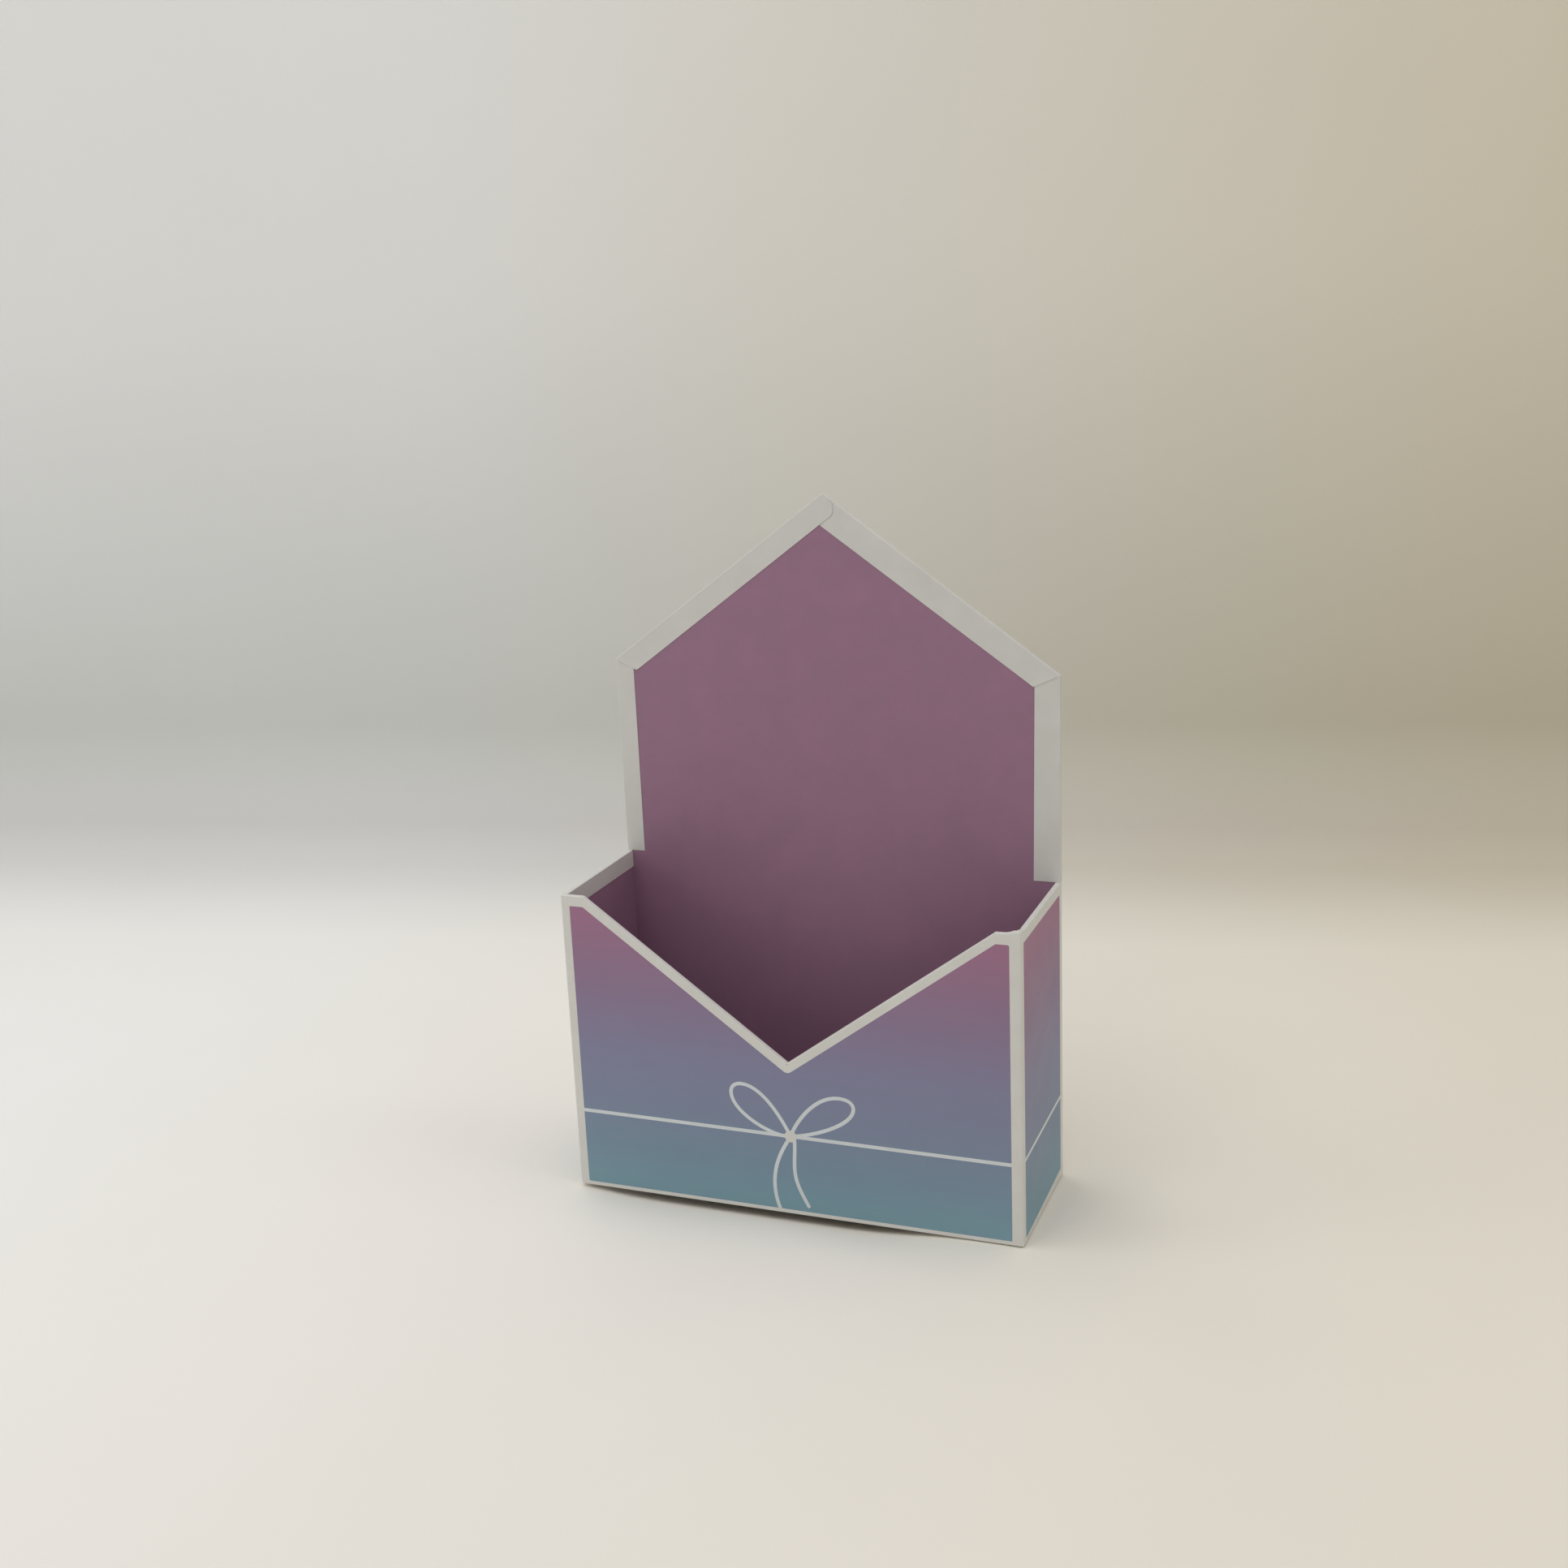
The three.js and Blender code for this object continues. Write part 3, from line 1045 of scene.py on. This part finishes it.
def stay_paper():
    """Brown stay paper with fine lengthwise fibre."""
    material, tree, shader = new_material("stay_kraft")
    cloud = noise(tree, scale=500, detail=5, roughness=0.6, stretch=(1, 1, 0.2))
    base = clouded(tree, cloud, stay_colours)
    tree.links.new(base, shader.inputs["Base Color"])
    shader.inputs["Roughness"].default_value = stay_roughness
    fibre = (noise(tree, scale=1500, detail=3, roughness=0.6, stretch=(1, 1, 0.3)), 0.03)
    bumps(tree, shader, fibre)
    return material


def finish_nodes(material, *names):
    """Gives CAD nodes that stay in the model their finished material."""
    for name in names:
        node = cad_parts[name]
        node.data.materials.clear()
        node.data.materials.append(material)


# Stage: a pale paper sweep, soft light and the camera

# The sheet's shape, with its hanging part as rows of (height, slope)
stage_turn = 12.2
stage_rotation = Matrix.Rotation(math.radians(stage_turn), 3, "Z")
floor_front = -1500
stage_half_width = 1800
sheet_step = 5.5
sweep_start = 500
sweep_radius = 75
sweep_end_turn = 369
sweep_arc_steps = 24
wall_bends = ((0, -0.16), (20, -0.18), (120, -0.12), (300, 0.14), (600, 0.14))
wall_step = 20
dip_depth = 12
dip_centre = (-20, -5)
dip_reach = (84, 30)

# The sheet's colour with painted shade, as rows of (share of the run up it, colour): lightest on the floor,
# darker towards and round its curve, lighter again up its wall; and its tint at the right, painted warm light
# and shade
shade_run = (330, 1000)
sheet_painted_shade_shares = (
    (0, "faf8f4"),
    (0.104, "f1f0ed"),
    (0.179, "e8e7e5"),
    (0.269, "e0dfdd"),
    (0.343, "d6d4d2"),
    (0.463, "d8d9d4"),
    (0.642, "dddedb"),
    (1, "e6e5e1"),
)
sweep_roughness = 0.85
# Painted warm light and shade, strongest at the right and up the wall
warm_run = (341, 504)
warm_across = (-460, 300)
painted_warm_shade_tint = (0.91, 0.835, 0.69)
warm_floor_share = 0.6

# Square soft lights, as rows of (name, place, size, watts), and the white light from all round
light_target = (0, 0, 50)
soft_lights = (
    ("window_front", (-1443, -583, 1090), 900, 3.5),
    ("window_rear", (-800, 600, 1550), 900, 2),
    ("ceiling_front", (-200, -1100, 1550), 900, 3.4),
    ("ceiling_left", (-433, -433, 1314), 700, 1),
    ("ceiling", (0, 0, 1900), 1200, 4.1),
    ("room_right", (1697, 0, 1697), 1300, 4.5),
)
room_light = 0.45

# The camera, with its angles in degrees and its lens as a share of its sensor's width
camera_eye = (308.2, -800.7, 432.2)
camera_pitch = -15.24
camera_yaw = 21.709
camera_roll = -2.442
sensor_width = 36
focal_share = 1.2424


def floor_dip(x, y):
    """How far the sheet of paper hangs below the table top, which it doesn't quite follow."""
    across = (x - dip_centre[0]) / dip_reach[0]
    along = (y - dip_centre[1]) / dip_reach[1]
    return dip_depth * math.exp(-(across ** 6) - along ** 2)


def wall_profile(distance, foot):
    """The hanging part of the sweep above its curve, where it bulges forward and then leans back."""
    points = []
    for (low, slope_low), (high, slope_high) in zip(wall_bends, wall_bends[1:]):
        steps = round((high - low) / wall_step)
        for i in range(steps):
            slope = slope_low + (slope_high - slope_low) * (i + 0.5) / steps
            distance += slope * (high - low) / steps
            points.append((distance, foot + low + (high - low) * (i + 1) / steps))
    return points


def sweep_mesh():
    """A sheet that lies almost flat, then curves up into a wall behind the box."""
    steps = round(sweep_start / sheet_step)
    fine = [i * sheet_step for i in range(-steps, steps + 1)]
    across = [-stage_half_width, *fine, stage_half_width]
    profile = [(floor_front, 0)] + [(y, 0) for y in fine]
    profile += arc_points((sweep_start, sweep_radius), sweep_radius, 270, sweep_end_turn, sweep_arc_steps)[1:]
    profile += wall_profile(*profile[-1])
    mesh = bmesh.new()
    rows = []
    for x in across:
        row = []
        for y, z in profile:
            place = stage_rotation @ Vector((x, y, z))
            place.z -= floor_dip(place.x, place.y)
            row.append(mesh.verts.new(place * MM))
        rows.append(row)
    for near, far in zip(rows, rows[1:]):
        for i in range(len(profile) - 1):
            face = mesh.faces.new([near[i], far[i], far[i + 1], near[i + 1]])
            face.smooth = True
    data = bpy.data.meshes.new("paper_sweep")
    mesh.to_mesh(data)
    mesh.free()
    return data


def run_up_sheet(tree):
    """How far a place lies along the sheet, towards the back and up, in metres."""
    run = tree.nodes.new("ShaderNodeVectorMath")
    run.operation = "DOT_PRODUCT"
    tree.links.new(place_of(tree), run.inputs[0])
    run.inputs[1].default_value = stage_rotation @ Vector((0, 1, 1))
    return run.outputs["Value"]


def painted_warm_shade_of_sheet(tree, run):
    """A painted tint of warm light and shade, which makes the sheet warmer and darker to the right and up its
    wall.
    """
    axes = tree.nodes.new("ShaderNodeSeparateXYZ")
    tree.links.new(place_of(tree), axes.inputs["Vector"])
    across = spread(tree, axes.outputs["X"], 0, 1, *(x * MM for x in warm_across))
    hang = spread(tree, run, warm_floor_share, 1, *(end * MM for end in warm_run))
    warmth = tree.nodes.new("ShaderNodeMath")
    warmth.operation = "MULTIPLY"
    tree.links.new(across, warmth.inputs[0])
    tree.links.new(hang, warmth.inputs[1])
    return mixed(tree, warmth.outputs["Value"], (1, 1, 1), painted_warm_shade_tint)


def sweep_paper():
    """Pale matt paper, with painted shade up its run and painted warm light and shade towards the right."""
    material, tree, shader = new_material("sweep_paper")
    run = run_up_sheet(tree)
    share = spread(tree, run, 0, 1, *(end * MM for end in shade_run))
    # The colour run is painted shade up the sheet, and the tint is painted warm light and shade towards the
    # right
    tint = tree.nodes.new("ShaderNodeVectorMath")
    tint.operation = "MULTIPLY"
    tree.links.new(colour_run(tree, share, sheet_painted_shade_shares), tint.inputs[0])
    tree.links.new(painted_warm_shade_of_sheet(tree, run), tint.inputs[1])
    cloud = spread(tree, noise(tree, scale=4, detail=3), 0.99, 1.01)
    tree.links.new(shade(tree, tint.outputs["Vector"], cloud), shader.inputs["Base Color"])
    shader.inputs["Roughness"].default_value = sweep_roughness
    fibre = (noise(tree, scale=900, detail=3), 0.04)
    bumps(tree, shader, fibre)
    return material


def paper_sweep():
    """The sheet of pale paper that the box stands on."""
    sweep = placed("paper_sweep", sweep_mesh())
    sweep.data.materials.append(sweep_paper())
    return sweep


def soft_light(name, place, size, power):
    """A large soft white light that points at the box."""
    data = bpy.data.lights.new(name, "AREA")
    data.shape = "SQUARE"
    data.size = size * MM
    data.energy = power
    light = placed(name, data)
    light.location = Vector(place) * MM
    light.rotation_euler = (Vector(light_target) - Vector(place)).to_track_quat("-Z", "Y").to_euler()
    return light


def ambient_light():
    """Even white light from all round."""
    world = bpy.data.worlds.new("room")
    world.use_nodes = True
    background = world.node_tree.nodes["Background"]
    background.inputs["Color"].default_value = (1, 1, 1, 1)
    background.inputs["Strength"].default_value = room_light
    bpy.context.scene.world = world


def photo_camera():
    """The camera at the photograph's viewing angle."""
    pitch, yaw, roll = (math.radians(angle) for angle in (camera_pitch, camera_yaw, camera_roll))
    data = bpy.data.cameras.new("photo_camera")
    data.sensor_width = sensor_width
    data.lens = data.sensor_width * focal_share
    camera = placed("photo_camera", data)
    camera.location = Vector(camera_eye) * MM
    turn = Matrix.Rotation(yaw, 3, "Z") @ Matrix.Rotation(math.pi / 2 + pitch, 3, "X")
    camera.rotation_euler = (turn @ Matrix.Rotation(roll, 3, "Z")).to_euler()
    bpy.context.scene.camera = camera


# The dressed box

white = paper_white("unprinted_paper", white_colours)
fade_print = printed_fade()
front_and_sides_wrap([white, fade_print, paper_white("fine_line_paper", fine_line_colours)])
# The back sheet takes a darker copy of the white paper, painted shade
back_wrap([paper_white("back_paper", back_painted_shade_colours)])

kraft = stay_paper()
for side_x, side_name in ((-1, "left"), (1, "right")):
    for side_y, end_name in ((-1, "front"), (1, "back")):
        corner_stay(f"{end_name}_{side_name}_corner_stay", side_x, side_y, kraft)

finish_nodes(greyboard(), "base_board", "front_board", "back_board", "left_side_board", "right_side_board")
finish_nodes(mauve_lining(), "front_liner", "back_liner", "left_side_liner", "right_side_liner", "base_liner")
finish_nodes(white, "base_cover_sheet")

# Its stage

paper_sweep()
for light_row in soft_lights:
    soft_light(*light_row)
ambient_light()
photo_camera()
bpy.context.scene.view_settings.view_transform = "Standard"
bpy.context.scene.view_settings.look = "None"
